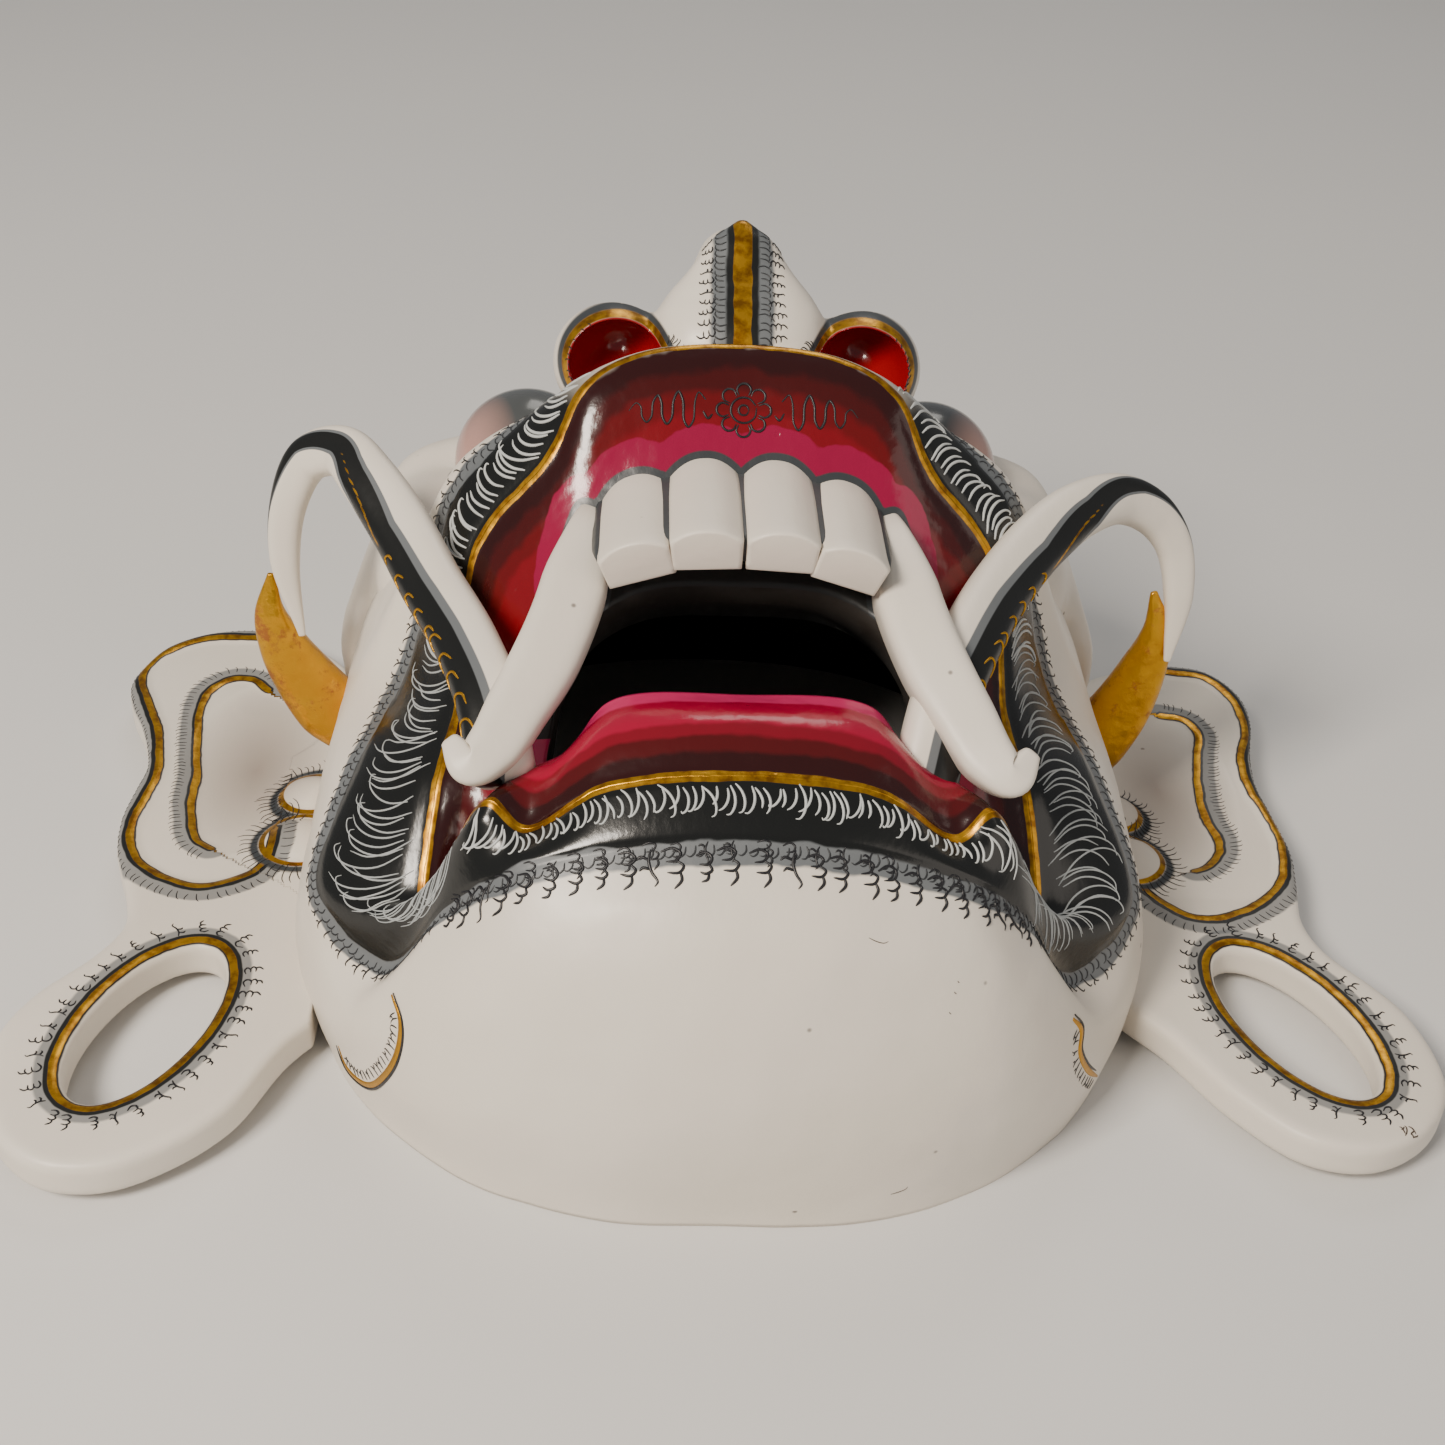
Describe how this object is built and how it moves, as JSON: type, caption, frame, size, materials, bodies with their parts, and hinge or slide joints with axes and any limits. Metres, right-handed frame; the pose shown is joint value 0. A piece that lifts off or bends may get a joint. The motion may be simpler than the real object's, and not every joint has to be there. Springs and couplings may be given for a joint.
{
  "type": "rangda mask",
  "caption": "Carved and painted wooden Rangda mask with bulging eyes, long fangs, curled tusks, a dark red tongue-like lower lip and flat pierced ears, lying on its back rim.",
  "frame": {"origin": "on the table, below the middle of the footprint of the mask lying on its back rim", "axes": "+Z is the way the face looks, away from the table; +Y runs from the chin to the forehead; +X is the viewer's right, the wearer's left"},
  "size_m": [0.37, 0.2622, 0.1819],
  "materials": {
    "painted_face": "satin",
    "painted_ear": "satin"
  },
  "bodies": {
    "root": {"mask": "painted_face", "left_ear": "painted_ear", "right_ear": "painted_ear"}
  },
  "joints": []
}
